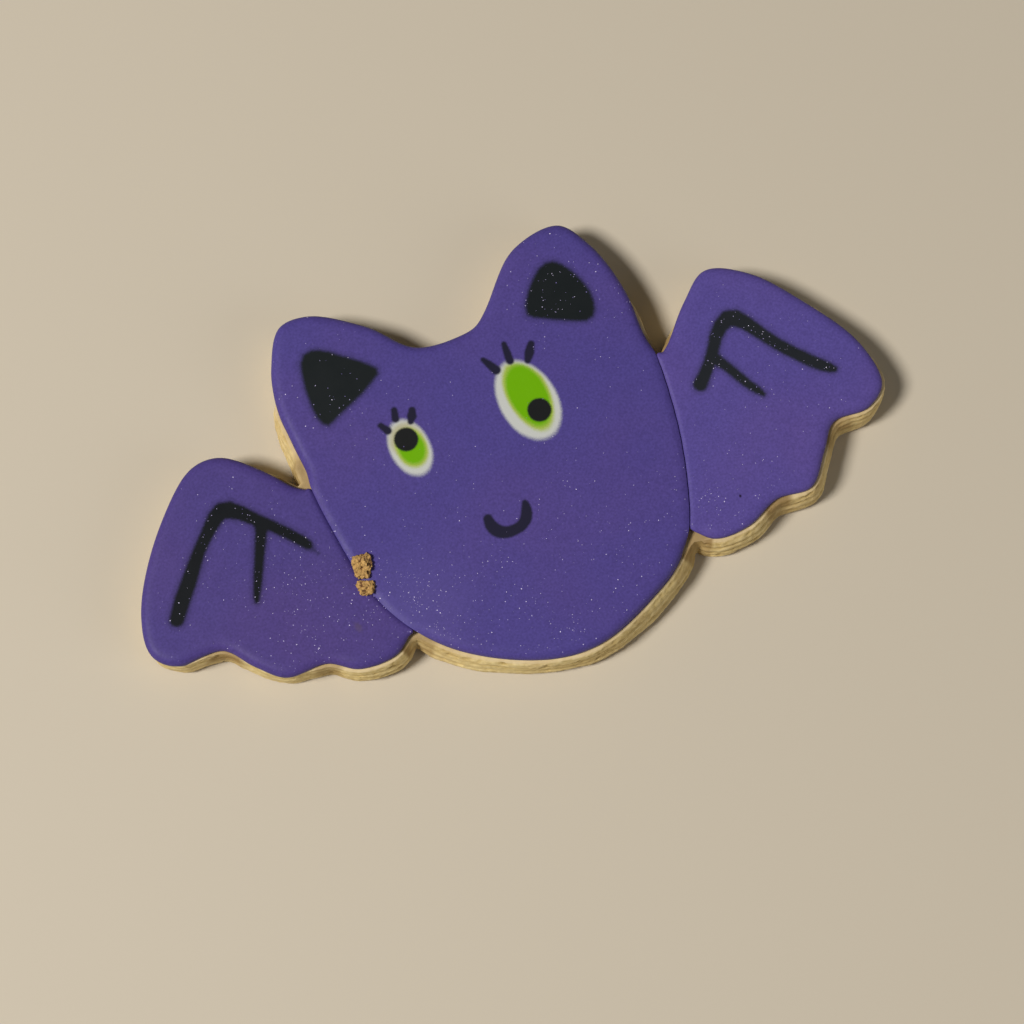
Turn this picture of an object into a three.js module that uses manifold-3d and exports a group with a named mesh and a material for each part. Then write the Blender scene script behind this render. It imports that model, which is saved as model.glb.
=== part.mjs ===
// An iced sugar cookie in the shape of a smiling bat: one slab of baked dough, with a piece of smooth
// icing over the head and one over each wing. Millimetres, +Z up, +X towards the right wing, +Y towards
// the ears. The origin is on the underside, in the middle of the cookie's box.
import * as THREE from 'three';
import Module from 'manifold-3d';
import { mergeVertices } from 'three/addons/utils/BufferGeometryUtils.js';

// Driving dimensions, in millimetres
const DOUGH_THICKNESS = 7.0;
const HEAD_ICING_THICKNESS = 2.3;
const WING_ICING_THICKNESS = 1.9;
const ICING_SHOULDER = 2.3; // how far in from its edge the icing reaches its full height
const ICING_TUCK = 0.25; // how far the icing's foot turns back under its edge
const ICING_FOOT = 0.3; // height of that foot
const SEAM_GAP = 0.3; // between the head's icing and a wing's
const CRUMB_WAVE = 0.16; // unevenness of the broken side of the dough
const WING_ROOT = 7.0; // how far a wing's dough runs on into the head

// Anchor points on the icing's edge, counter-clockwise seen from above, as [x, y, overhang]. The overhang
// is how far the base stands out past the icing there; below 0 the icing hangs over a little.
const HEAD_EDGE = [
  [-4.5, -36.6, 1.2], [6.2, -37.4, 1.3], [17.3, -33.0, 1.8], [24.9, -27.3, 2.0], // chin and right jaw
  [30.7, -10.9, 1.5], [32.6, 8.6, 0.8], [31.4, 24.1, 0.2], // right cheek
  [28.4, 32.8, 0.1], [24.3, 37.7, 0.0], [15.0, 35.9, -0.4], [6.5, 27.0, -0.4], // right ear
  [2.5, 24.4, -0.1], [-6.6, 24.4, 0.1], // crown of the head
  [-14.7, 31.3, 0.1], [-23.8, 36.5, 0.1], [-29.5, 36.1, 0.0], [-33.2, 29.3, -0.2], // left ear
  [-34.3, 24.4, -0.1], [-34.5, 20.2, 1.4], [-34.1, 16.5, 1.8], [-32.4, -0.2, 1.6], // left cheek
  [-28.1, -17.9, 1.5], [-19.5, -29.0, 1.8], // left jaw
];
const LEFT_WING_EDGE = [
  [-33.4, 5.2, 0.4], [-39.7, 11.5, 0.1], [-47.2, 17.1, 0.0], [-53.0, 16.6, -0.1], // up to the elbow
  [-61.3, 8.1, 0.0], [-68.6, -4.9, 0.1], [-69.3, -12.9, -0.1], [-65.2, -16.6, -0.3], // outer edge and tip
  [-57.2, -16.3, 0.7], [-52.8, -20.8, 0.2], [-48.1, -24.5, 0.0], // first notch and middle scallop
  [-40.7, -24.5, 0.9], [-35.6, -27.3, 1.1], [-28.8, -27.1, 1.5], [-25.0, -24.1, 1.5], // inner scallop
];
const RIGHT_WING_EDGE = [
  [27.5, -23.3, 1.6], [31.1, -26.3, 1.8], [37.6, -26.1, 2.0], // inner scallop
  [44.0, -23.2, 1.9], [50.6, -23.2, 1.7], [55.2, -17.7, 1.5], // second notch and middle scallop
  [58.6, -13.4, 1.7], [65.3, -13.0, 1.2], [69.3, -9.7, 0.9], // first notch and tip
  [68.3, -1.3, 0.3], [61.9, 9.5, 0.1], [54.3, 17.6, 0.1], // outer edge
  [46.6, 20.8, -0.2], [41.0, 16.4, -0.2], [34.9, 9.4, 0.6], [32.6, 7.6, 0.8], // elbow, down to the cheek
];
const STEPS_PER_ANCHOR = 6;
const ROOM_SHARE = 0.75; // how much of the free room beside its outline a ring may use

// Heights of the dough's side as shares of its thickness, each with how far it stands out from the
// overhang: a small foot, a bulge, the groove between two rolled layers, and a rounded upper lip
const DOUGH_SIDE = [
  { share: 0.0, out: -0.35 },
  { share: 0.08, out: 0.1 },
  { share: 0.3, out: 0.15 },
  { share: 0.46, out: -0.3 },
  { share: 0.62, out: -0.05 },
  { share: 0.88, out: -0.25 },
  { share: 1.0, out: -0.7 },
];
const ICING_RINGS = 5;

const solids = await Module();
solids.setup();

// A smooth line through the anchor points. Each of its points also carries its overhang.
function smoothLine(anchors, closed) {
  const points = anchors.map(([x, y]) => new THREE.Vector3(x, y, 0));
  const curve = new THREE.CatmullRomCurve3(points, closed, 'centripetal');
  const spans = closed ? anchors.length : anchors.length - 1;
  const line = curve.getPoints(spans * STEPS_PER_ANCHOR).map((p, i) => {
    const [, , from] = anchors[Math.floor(i / STEPS_PER_ANCHOR) % anchors.length];
    const [, , to] = anchors[Math.ceil(i / STEPS_PER_ANCHOR) % anchors.length];
    const share = THREE.MathUtils.smoothstep(i % STEPS_PER_ANCHOR, 0, STEPS_PER_ANCHOR);
    return edgePoint(p.x, p.y, THREE.MathUtils.lerp(from, to, share));
  });
  if (closed) line.pop();
  return line;
}

function edgePoint(x, y, overhang) {
  return Object.assign(new THREE.Vector2(x, y), { overhang });
}

// The direction away from the shape at each point of a counter-clockwise outline
function outwardNormals(outline) {
  return outline.map((point, i) => {
    const before = outline.at(i - 1);
    const after = outline[(i + 1) % outline.length];
    const along = after.clone().sub(before).normalize();
    return new THREE.Vector2(along.y, -along.x);
  });
}

// How far each point may move along its normal (side 1) or against it (side -1) before it would meet
// the outline's other points on their way: a share of the largest circle that touches there. Points
// beside a tight corner are held back with it, so that neighbours never cross.
function roomBeside(outline, normals, side) {
  const radii = outline.map((point, i) => {
    const touching = outline.map((other, j) => {
      if (i === j) return Infinity;
      const reach = other.clone().sub(point);
      const towards = side * reach.dot(normals[i]);
      return towards > 1e-6 ? reach.lengthSq() / (2 * towards) : Infinity;
    });
    return ROOM_SHARE * Math.min(...touching);
  });
  return outline.map((point) => {
    const held = outline.map((other, j) => radii[j] + ROOM_SHARE * other.distanceTo(point));
    return Math.min(...held);
  });
}

// A closed solid of stacked rings. ring.grow(point) says how far the ring stands out at that point;
// where the outline turns sharply it is held back, so that no ring folds over itself.
function stackRings(outline, rings) {
  const normals = outwardNormals(outline);
  const roomOut = roomBeside(outline, normals, 1);
  const roomIn = roomBeside(outline, normals, -1);
  const count = outline.length;
  const points = rings.map((ring) => outline.map((point, i) => {
    const grow = THREE.MathUtils.clamp(ring.grow(point), -roomIn[i], roomOut[i]);
    return point.clone().addScaledVector(normals[i], grow);
  }));
  const positions = rings.flatMap((ring, level) => points[level].flatMap((p) => [p.x, p.y, ring.height]));
  const faces = [];
  for (let level = 0; level < rings.length - 1; level++) {
    for (let i = 0; i < count; i++) {
      const next = (i + 1) % count;
      const low = level * count;
      const high = low + count;
      faces.push(low + i, low + next, high + next, low + i, high + next, high + i);
    }
  }
  const top = (rings.length - 1) * count;
  for (const [a, b, c] of THREE.ShapeUtils.triangulateShape(points[0], [])) faces.push(c, b, a);
  for (const [a, b, c] of THREE.ShapeUtils.triangulateShape(points.at(-1), [])) {
    faces.push(top + a, top + b, top + c);
  }
  const geometry = new THREE.BufferGeometry();
  geometry.setAttribute('position', new THREE.Float32BufferAttribute(positions, 3));
  geometry.setIndex(faces);
  return geometry;
}

function toSolid(geometry) {
  const merged = mergeVertices(geometry);
  return new solids.Manifold(new solids.Mesh({
    numProp: 3,
    vertProperties: merged.attributes.position.array,
    triVerts: new Uint32Array(merged.index.array),
  }));
}

function toGeometry(solid) {
  const mesh = solid.getMesh();
  const geometry = new THREE.BufferGeometry();
  geometry.setAttribute('position', new THREE.BufferAttribute(mesh.vertProperties, 3));
  geometry.setIndex(new THREE.BufferAttribute(mesh.triVerts, 1));
  return geometry;
}

// A slow unevenness that differs from level to level, as broken dough has
function crumbWave(point, height) {
  const slow = Math.sin(0.41 * point.x + 0.9 * height) * Math.cos(0.37 * point.y - 0.5 * height);
  const quick = Math.sin(1.13 * point.x - 0.8 * point.y + 2.1 * height);
  return CRUMB_WAVE * (0.6 * slow + 0.4 * quick);
}

function distanceToLine(line, point) {
  return Math.min(...line.map((other) => other.distanceTo(point)));
}

// The outline moved out by the overhang, without the points that would cross over in a notch
function grownOutline(outline) {
  const normals = outwardNormals(outline);
  const moved = outline.map((point, i) => point.clone().addScaledVector(normals[i], point.overhang));
  return moved.filter((point, i) => distanceToLine(outline, point) > 0.97 * outline[i].overhang);
}

function doughSlab(icingOutline) {
  const rings = DOUGH_SIDE.map(({ share, out }) => {
    const height = share * DOUGH_THICKNESS;
    return { height, grow: (point) => out + crumbWave(point, height) };
  });
  return toSolid(stackRings(grownOutline(icingOutline), rings));
}

// A wing's free edge, run on at both ends into the head so that the slabs join
function wingDoughOutline(freeEdge) {
  const runOn = (end, inner) => {
    const { x, y } = end.clone().add(end.clone().sub(inner).setLength(WING_ROOT));
    return edgePoint(x, y, end.overhang);
  };
  return [runOn(freeEdge[0], freeEdge[1]), ...freeEdge, runOn(freeEdge.at(-1), freeEdge.at(-2))];
}

function nearestIndex(outline, point) {
  const distances = outline.map((other) => other.distanceTo(point));
  return distances.indexOf(Math.min(...distances));
}

// A wing's free edge, closed along the head's outline with the seam's gap
function wingIcingOutline(freeEdge, headOutline) {
  const normals = outwardNormals(headOutline);
  const atSeam = (i) => headOutline[i].clone().addScaledVector(normals[i], SEAM_GAP);
  const count = headOutline.length;
  const from = nearestIndex(headOutline, freeEdge.at(-1));
  const to = nearestIndex(headOutline, freeEdge[0]);
  const seam = [];
  for (let i = from; i !== to; i = (i - 1 + count) % count) seam.push(atSeam(i));
  const clear = freeEdge.filter((point) => distanceToLine(headOutline, point) > 4 * SEAM_GAP);
  return [atSeam(to), ...clear, ...seam];
}

// Icing with a rounded shoulder: a quarter of an ellipse from the foot up to the flat top
function icingPiece(outline, thickness) {
  const rings = [{ height: DOUGH_THICKNESS, grow: () => -ICING_TUCK }];
  for (let i = 0; i <= ICING_RINGS; i++) {
    const turn = (i / ICING_RINGS) * (Math.PI / 2);
    const height = DOUGH_THICKNESS + ICING_FOOT + (thickness - ICING_FOOT) * Math.sin(turn);
    rings.push({ height, grow: () => -ICING_SHOULDER * (1 - Math.cos(turn)) });
  }
  return stackRings(outline, rings);
}

function addPiece(cookie, name, geometry, colour, roughness) {
  const material = new THREE.MeshStandardMaterial({ color: colour, roughness, metalness: 0 });
  const flat = geometry.toNonIndexed();
  flat.computeVertexNormals();
  const mesh = new THREE.Mesh(flat, material);
  mesh.name = name;
  cookie.add(mesh);
}

const headOutline = smoothLine(HEAD_EDGE, true);
const leftFreeEdge = smoothLine(LEFT_WING_EDGE, false);
const rightFreeEdge = smoothLine(RIGHT_WING_EDGE, false);

const dough = doughSlab(headOutline)
  .add(doughSlab(wingDoughOutline(leftFreeEdge)))
  .add(doughSlab(wingDoughOutline(rightFreeEdge)));

const PURPLE = 0x54468a;
const BISCUIT = 0xcba467;
const cookie = new THREE.Group();
addPiece(cookie, 'cookie_base', toGeometry(dough), BISCUIT, 0.85);
addPiece(cookie, 'icing_head', icingPiece(headOutline, HEAD_ICING_THICKNESS), PURPLE, 0.45);
addPiece(cookie, 'icing_wing_left',
  icingPiece(wingIcingOutline(leftFreeEdge, headOutline), WING_ICING_THICKNESS), PURPLE, 0.45);
addPiece(cookie, 'icing_wing_right',
  icingPiece(wingIcingOutline(rightFreeEdge, headOutline), WING_ICING_THICKNESS), PURPLE, 0.45);

// Centre the cookie's box on the origin, with its underside at height zero
const box = new THREE.Box3().setFromObject(cookie);
const centre = box.getCenter(new THREE.Vector3());
cookie.position.set(-centre.x, -centre.y, -box.min.z);

export default cookie;
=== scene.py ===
"""An iced sugar cookie in the shape of a smiling bat: a thick pale base, smooth purple icing with painted
eyes, smile, ears and wing bones, a dusting of edible glitter and two loose crumbs."""
import math

import bmesh
import bpy
import numpy as np
from mathutils import Matrix, Vector, geometry, noise


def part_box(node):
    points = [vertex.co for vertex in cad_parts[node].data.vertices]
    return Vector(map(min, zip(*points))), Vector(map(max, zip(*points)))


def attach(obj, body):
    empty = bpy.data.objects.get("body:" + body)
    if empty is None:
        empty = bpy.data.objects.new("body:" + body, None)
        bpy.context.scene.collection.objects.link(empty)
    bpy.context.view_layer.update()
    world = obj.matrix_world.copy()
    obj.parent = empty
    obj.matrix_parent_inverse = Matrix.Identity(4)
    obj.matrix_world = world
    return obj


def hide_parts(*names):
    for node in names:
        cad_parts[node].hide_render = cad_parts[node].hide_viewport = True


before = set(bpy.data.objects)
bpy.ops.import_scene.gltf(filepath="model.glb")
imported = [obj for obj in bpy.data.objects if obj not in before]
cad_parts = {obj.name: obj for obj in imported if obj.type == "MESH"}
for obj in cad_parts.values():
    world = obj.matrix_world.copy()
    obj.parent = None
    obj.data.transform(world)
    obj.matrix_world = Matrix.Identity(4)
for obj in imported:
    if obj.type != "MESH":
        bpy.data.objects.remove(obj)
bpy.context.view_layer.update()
MM = 0.001

# The baked base
# One slab of rolled sugar-cookie dough, cut out as a bat with two ears and scalloped wings and baked
# pale. Top and bottom are smooth; the cut side is crumbly and shows the layers of the rolled dough.
BASE_STEP = 0.33  # between points along the cut side, in millimetres
CLOSEST_POINTS = 0.35  # points of a node's outline nearer than this to the next are left out
SAME_PLACE = 0.001  # corners of a node's triangles this near to each other are one
SUBSTEPS = 8  # of a smooth line, between two of its points
SAFE_SHARE = 0.7  # of the room that a line has before it would cross itself
AMPLE_ROOM = 100.0
INNER_GAP = 0.6  # from a filled line to the points inside it, as a share of their spacing
WIDEST = 2.0  # the height where the cut side stands out farthest
# Up the cut side, layer on layer: each height, and how far in it lies, below in millimetres from the
# widest line and above as a share of the way to the top's edge
LOWER_SIDE = [(0.0, 0.8), (0.15, 0.42), (0.55, 0.12), (1.2, 0.0)]
UPPER_SIDE = [(2.4, 0.0), (2.8, 0.16), (3.15, 0.24), (3.5, 0.22), (4.3, 0.30), (4.75, 0.46), (5.1, 0.52),
              (5.4, 0.50), (6.0, 0.58), (6.35, 0.72), (6.65, 0.80), (6.9, 0.93), (7.0, 1.0)]
BASE_TOP = 7.0
SIDE_STEPS = [(0, 0.6, 0.15), (0.6, 6.7, 0.22), (6.7, BASE_TOP, 0.1)]  # its levels: from, to, apart
EDGE_READ_AT = 7.3  # the height at which the icing's edge is read, above its foot
BARE_LIP = 0.5  # how much of the flat top shows outside the icing, in millimetres
BARE_EVENED = 12  # times that the bare top's width is evened out round the cookie
# Where the icing stops a little short of the frame's edge: each place, its radius, and how far
DRAWN_IN = [(14.0, -33.8, 9, 0.62), (23.0, -28.0, 4.5, 0.36), (59.5, 10.0, 9, 0.46),
            (-63.5, -15.9, 3, 0.45), (4.0, 25.3, 3, 0.34), (-56.5, 14.5, 6, 0.22),
            (31.2, 15.0, 3.5, 0.42), (-36.0, 9.0, 3.5, 0.45), (-9.7, 26.0, 3.5, 0.26)]
PATCH_FALL = 0.75  # how fast a soft patch fades outwards; higher is faster
TOP_EDGE = (0.45, 2.3)  # the least and the most that the top's edge lies in from the widest line
UNDER_ICING = 1.2  # how far the top runs on below the icing
UNDERSIDE_RIM = 0.5  # a narrow flat rim round the underside, in millimetres
UNDERSIDE_SPACING = 2.2
SOFT_STOP = 4  # how firmly the side is held back where it would cross itself
# The cut side's unevenness: the distances over which it changes, in millimetres, and its seed
LAYERS = ((20, 20, 1.3), 1)
LUMPS = ((5, 5, 2.5), 2)
GRAIN = ((0.8, 0.8, 0.7), 3, 3)
PITS = ((2.2, 2.2, 1.1), 4)
DRIFT = (11, 20)
SEED_SHIFT = (17.3, 5.1, 9.7)  # how far apart in the noise two seeds lie
OCTAVE_FALL = 0.8
OCTAVE_GAP = 2.1
LAYER_DEPTH = 0.12
LUMP_DEPTH = 0.15
GRAIN_DEPTH = 0.08
GRAIN_RISE = 0.06
PIT_DEPTH = 0.5
PIT_START = 0.3  # the unevenness at which a pit starts
PIT_MOST = 0.6
DRIFT_RISE = 0.5  # how far the layers rise and sink along the side
DRIFT_END = 6.8  # the height above which they lie level
DRIFT_FADE = 1.5
FOOT_HEIGHT = 0.4  # the height up to which the relief grows
WEAR_FROM = (6.6, 0.4)  # the height from which it fades again, and over which, by the share TOP_WEAR
TOP_WEAR = 0.8
SHADED_HOLLOWS = [(3.1, 30), (5.0, 31)]  # height and seed of the painted shade lines between layers
HOLLOW_BREADTH = 0.4
HOLLOW_LENGTH = 8  # over which they come and go
HOLLOW_SHOWS = (0.6, 0.8, 0.1)  # how much they show: usually, how far it changes, and at least
# Painted light and shade on the side, from 0 to 1: its usual level, and how much its relief changes it,
# lighter where it stands out and darker in its hollows and pits
RELIEF_LIGHTNESS = 0.64
LAYER_SHADE = 0.24
GRAIN_SHADE = 0.24
HOLLOW_SHADE = 0.26
PIT_SHADE = 0.6
SHARP_TURN = 0.075  # how sharply the side turns inwards, per millimetre, where the painted shade in its notches is darkest
TURN_EVENED = 50  # times that the turning is evened out round the cookie
NOTCH_LEVELS = [(0, 0.35), (2, 0.6), (5, 1.0)]  # each height, and the share of the notch's painted shade there
NOTCH_LUMPS = (0.85, 0.8)  # its usual strength, and how far the lumps change it
LIP_FROM = (6.75, 0.2)  # the height where the bare lip's colour starts, and over which it comes in
LIP_LUMPS = (0.9, 0.5)  # likewise
# The dough's tones, from painted shade in the grooves to painted light on the ridges: each lightness, and
# its colour
SHADED_GROOVE_TONE = (0.08, (0.35, 0.23, 0.075, 1))
PALE_TONE = (0.46, (0.69, 0.53, 0.22, 1))
LIT_RIDGE_TONE = (0.88, (0.85, 0.70, 0.36, 1))
LIP_BISCUIT = (0.73, 0.585, 0.35, 1)
LIP_SHARE = 0.75
NOTCH_SHADE_BISCUIT = (0.23, 0.13, 0.032, 1)
NOTCH_SHARE = 0.8
TOASTED_BISCUIT = (0.50, 0.34, 0.145, 1)
UNDERSIDE_LIGHT = (0.57, 0.39, 0.17, 1)
UNDERSIDE_DARK = (0.34, 0.19, 0.065, 1)
UNDERSIDE_PORE = (0.20, 0.10, 0.03, 1)
# Patterns: how fine (per millimetre), detail and roughness; then from where to where in the pattern its
# effect goes from its first value to its last
TOAST = ((0.11, 3, 0.5), (0.45, 0.75, 0, 0.5))
SPECKS = ((1.3, 4, 0.6), (0.3, 0.7, 0.92, 1.05))
BLOOM = ((0.09, 6, 0.65), (0.38, 0.66, 0, 1))
PORES = ((0.9, 3, 0.5), (0.58, 0.70, 0, 0.6))
CRUMBLE = (2.6, 5, 0.7)
CRUMBLE_RELIEF = (0.08 * MM, 0.6)  # how high its fine relief is, and how strongly it shows
TURNED_DOWN = (-0.35, -0.9, 0, 1)  # the slopes where the underside's colours start and are full
FOOT_TOAST = (1.4, 0.0, 0, 0.3)  # the side is browned a little from this height down to the foot


def section_of(node, height):
    """The outline of a node at a height, counter-clockwise from its leftmost point, in millimetres."""
    form = bmesh.new()
    form.from_mesh(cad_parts[node].data)
    bmesh.ops.remove_doubles(form, verts=form.verts, dist=SAME_PLACE * MM)
    everything = list(form.verts) + list(form.edges) + list(form.faces)
    cut = bmesh.ops.bisect_plane(form, geom=everything, plane_co=(0, 0, height * MM), plane_no=(0, 0, 1))
    edges = {part for part in cut["geom_cut"] if isinstance(part, bmesh.types.BMEdge)}
    lines = []
    while edges:
        first = edges.pop()
        line = [first.verts[0], first.verts[1]]
        while line[-1] is not line[0]:
            step = next(e for e in line[-1].link_edges if e in edges)
            edges.remove(step)
            line.append(step.other_vert(line[-1]))
        lines.append([v.co.xy[:] for v in line[:-1]])
    form.free()
    points = np.array(max(lines, key=len)) / MM
    ahead = np.roll(points, -1, 0)
    if np.sum(points[:, 0] * ahead[:, 1] - ahead[:, 0] * points[:, 1]) < 0:
        points = points[::-1]
    points = np.roll(points, -int(np.argmin(points[:, 0])), 0)
    while True:
        close = np.linalg.norm(np.roll(points, -1, 0) - points, axis=1) < CLOSEST_POINTS
        if not close.any():
            return points
        points = np.delete(points, int(np.argmax(close)), 0)


def eased_line(points, spacing):
    """A smooth closed line through the points, with new points at an even spacing."""
    fine = []
    for a, b, c, d in zip(np.roll(points, 1, 0), points, np.roll(points, -1, 0), np.roll(points, -2, 0)):
        for t in np.linspace(0, 1, SUBSTEPS, endpoint=False):
            bend = 2 * a - 5 * b + 4 * c - d
            twist = 3 * b - a - 3 * c + d
            fine.append(0.5 * (2 * b + (c - a) * t + bend * t ** 2 + twist * t ** 3))
    fine = np.array(fine)
    closed = np.vstack([fine, fine[:1]])
    run = np.concatenate([[0], np.cumsum(np.linalg.norm(np.diff(closed, axis=0), axis=1))])
    wanted = np.linspace(0, run[-1], int(run[-1] / spacing), endpoint=False)
    return np.stack([np.interp(wanted, run, closed[:, i]) for i in (0, 1)], 1)


def outward(line):
    """The direction away from the shape at each point of its line."""
    along = np.roll(line, -1, 0) - np.roll(line, 1, 0)
    along /= np.linalg.norm(along, axis=1)[:, None]
    return np.stack([along[:, 1], -along[:, 0]], 1)


def room_behind(line, normals):
    """How far each point can move against its normal before the line would cross itself."""
    room = np.empty(len(line))
    for i, point in enumerate(line):
        reach = line - point
        inwards = -(reach @ normals[i])
        ahead = inwards > 1e-6
        room[i] = np.min((reach[ahead] ** 2).sum(1) / (2 * inwards[ahead]), initial=AMPLE_ROOM)
    gaps = np.linalg.norm(line[:, None] - line[None], axis=2)
    return np.min(SAFE_SHARE * room[None] + SAFE_SHARE * gaps, axis=1)


def evened(values, times):
    """The values round a closed line, each averaged with its neighbours so many times."""
    for _ in range(times):
        values = (np.roll(values, -1) + values + np.roll(values, 1)) / 3
    return values


def ramp(value, start, breadth):
    """How far the value is past the start, from 0 to 1 over the breadth."""
    return np.clip((value - start) / breadth, 0, 1)


def soft_patches(points, patches):
    """The sum at each point of soft round patches, each (x, y, radius, amount)."""
    total = np.zeros(len(points))
    for x, y, radius, amount in patches:
        away = (points[:, 0] - x) ** 2 + (points[:, 1] - y) ** 2
        total += amount * np.exp(-PATCH_FALL * away / radius ** 2)
    return total


def distance_to(points, line):
    """How far each point is from the nearest point of the line."""
    return np.min(np.linalg.norm(points[:, None] - line[None], axis=2), axis=1)


def filled(line, spacing=None):
    """Points inside a closed line at the spacing, if one is given, and the triangles that fill the line."""
    grid = np.empty((0, 2))
    if spacing:
        across, up = (np.arange(line[:, i].min(), line[:, i].max(), spacing) for i in (0, 1))
        grid = np.array([(x + 0.5 * spacing * (row % 2), y) for row, y in enumerate(up) for x in across])
        grid = grid[distance_to(grid, line) > INNER_GAP * spacing]
    count = len(line)
    points = [Vector(p) for p in np.vstack([line, grid])]
    found = geometry.delaunay_2d_cdt(points, [], [list(range(count))], 1, 1e-6)
    used = sorted({k for face in found[2] for k in face if k >= count})
    places = {k: count + order for order, k in enumerate(used)}
    return [tuple(found[0][k]) for k in used], [[places.get(k, k) for k in face] for face in found[2]]


def ringed_mesh(name, rings, top_spacing=None, lift=None, bottom_spacing=None):
    """A closed mesh of rings stacked upwards and filled at both ends; lift moves its points at the end."""
    levels, count = len(rings), len(rings[0])
    total = levels * count
    faces = []
    for low in range(0, (levels - 1) * count, count):
        for i in range(count):
            j = (i + 1) % count
            faces.append((low + i, low + j, low + count + j, low + count + i))
    upper, triangles = filled(rings[-1][:, :2], top_spacing)
    faces += [[total - count + k for k in face] for face in triangles]
    lower, triangles = filled(rings[0][:, :2], bottom_spacing)
    below = total + len(upper) - count
    faces += [[k if k < count else below + k for k in face[::-1]] for face in triangles]
    inner = [(x, y, rings[-1][0, 2]) for x, y in upper] + [(x, y, rings[0][0, 2]) for x, y in lower]
    points = np.concatenate(list(rings) + [np.array(inner).reshape(-1, 3)])
    if lift:
        points = lift(points)
    mesh = bpy.data.meshes.new(name)
    mesh.from_pydata(points * MM, [], faces)
    form = bmesh.new()
    form.from_mesh(mesh)
    bmesh.ops.triangulate(form, faces=form.faces)
    form.to_mesh(mesh)
    form.free()
    mesh.shade_smooth()
    return mesh


def new_piece(name, mesh):
    """A new object for the mesh, at the origin."""
    piece = bpy.data.objects.new(name, mesh)
    bpy.context.scene.collection.objects.link(piece)
    return piece


def rough_at(points, size, seed, octaves=2):
    """Uneven values, about -1 to 1, that change over distances of size; size may differ by direction."""
    scaled = points / np.array(size, float)
    shift = Vector([seed * apart for apart in SEED_SHIFT])
    return np.array([noise.fractal(Vector(p) + shift, OCTAVE_FALL, OCTAVE_GAP, octaves) for p in scaled])


def keep_value(mesh, name, values):
    """Stores a value at each point, for the material to read."""
    mesh.attributes.new(name, "FLOAT", "POINT").data.foreach_set("value", values.astype(np.float32))


def material_tree(name):
    """A new material with its node tree and its Principled shader."""
    made = bpy.data.materials.new(name)
    made.use_nodes = True
    return made, made.node_tree, made.node_tree.nodes["Principled BSDF"]


def feed(tree, node, links):
    """Gives a node its inputs; each link is (input name or number, value or socket to join)."""
    for place, value in links:
        if isinstance(value, bpy.types.NodeSocket):
            tree.links.new(value, node.inputs[place])
        else:
            node.inputs[place].default_value = value


def add_node(tree, kind, links=(), **settings):
    """Adds a node with its settings and its inputs."""
    node = tree.nodes.new(kind)
    for key, value in settings.items():
        setattr(node, key, value)
    feed(tree, node, links)
    return node


def maths(tree, operation, *values):
    """The result of a Math node on these values or sockets."""
    return add_node(tree, "ShaderNodeMath", list(enumerate(values)), operation=operation).outputs[0]


def vector_maths(tree, operation, *values, result="Vector"):
    """The result of a Vector Math node on these values or sockets."""
    node = add_node(tree, "ShaderNodeVectorMath", list(enumerate(values)), operation=operation)
    return node.outputs[result]


def blend_colours(tree, amount, first, second, how="MIX"):
    """The first colour with the second over it by the amount."""
    colours = [(0, amount), (6, first), (7, second)]
    return add_node(tree, "ShaderNodeMix", colours, data_type="RGBA", blend_type=how).outputs[2]


def in_millimetres(tree, centre=(0, 0, 0)):
    """Places on the piece in millimetres from the centre, which is given in metres."""
    coords = add_node(tree, "ShaderNodeTexCoord")
    moved = vector_maths(tree, "SUBTRACT", coords.outputs["Object"], tuple(centre))
    return add_node(tree, "ShaderNodeMapping", [("Vector", moved), ("Scale", (1 / MM,) * 3)]).outputs[0]


def part_of(tree, vector, axis):
    """One of the three numbers of a vector."""
    return add_node(tree, "ShaderNodeSeparateXYZ", [(0, vector)]).outputs[axis]


def kept_value(tree, name):
    """The value that is kept at the mesh's points under this name."""
    return add_node(tree, "ShaderNodeAttribute", attribute_name=name).outputs["Fac"]


def noise_at(tree, place, fineness, detail, roughness=0.5):
    """An uneven pattern over the places, from about 0.3 to 0.7."""
    return add_node(tree, "ShaderNodeTexNoise", [
        ("Vector", place), ("Scale", fineness), ("Detail", detail), ("Roughness", roughness)]).outputs["Fac"]


def ranged(tree, value, start, end, first=0.0, last=1.0, **settings):
    """First where the value is at the start, last where it is at the end, and evenly between them."""
    return add_node(tree, "ShaderNodeMapRange", [
        ("Value", value), (1, start), (2, end), (3, first), (4, last)], **settings).outputs[0]


def varied(tree, place, pattern, effect):
    """What a pattern over the places does: pattern goes to noise_at, and effect to ranged."""
    return ranged(tree, noise_at(tree, place, *pattern), *effect)


def bump(tree, shader, height, rise, strength):
    """Lets the shader show a height as relief, of that rise in metres."""
    relief = add_node(tree, "ShaderNodeBump", [
        ("Strength", strength), ("Distance", rise), ("Height", height)])
    feed(tree, shader, [("Normal", relief.outputs[0])])


base_line = eased_line(section_of("cookie_base", WIDEST), BASE_STEP)
base_normals = outward(base_line)
room_in = room_behind(base_line, base_normals)
room_out = room_behind(base_line, -base_normals)
icing_edge = np.vstack([section_of("icing_" + part, EDGE_READ_AT)
                        for part in ("head", "wing_left", "wing_right")])
nearest = icing_edge[np.argmin(np.linalg.norm(base_line[:, None] - icing_edge[None], axis=2), axis=1)]
bare = np.sum((base_line - nearest) * base_normals, axis=1) + soft_patches(nearest, DRAWN_IN)
bare = evened(bare, BARE_EVENED)
top_edge = np.clip(bare - BARE_LIP, *TOP_EDGE)
heading = base_normals @ [1, 1j]
turning = np.angle(np.roll(heading, -1) / np.roll(heading, 1)) / (2 * BASE_STEP)
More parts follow.
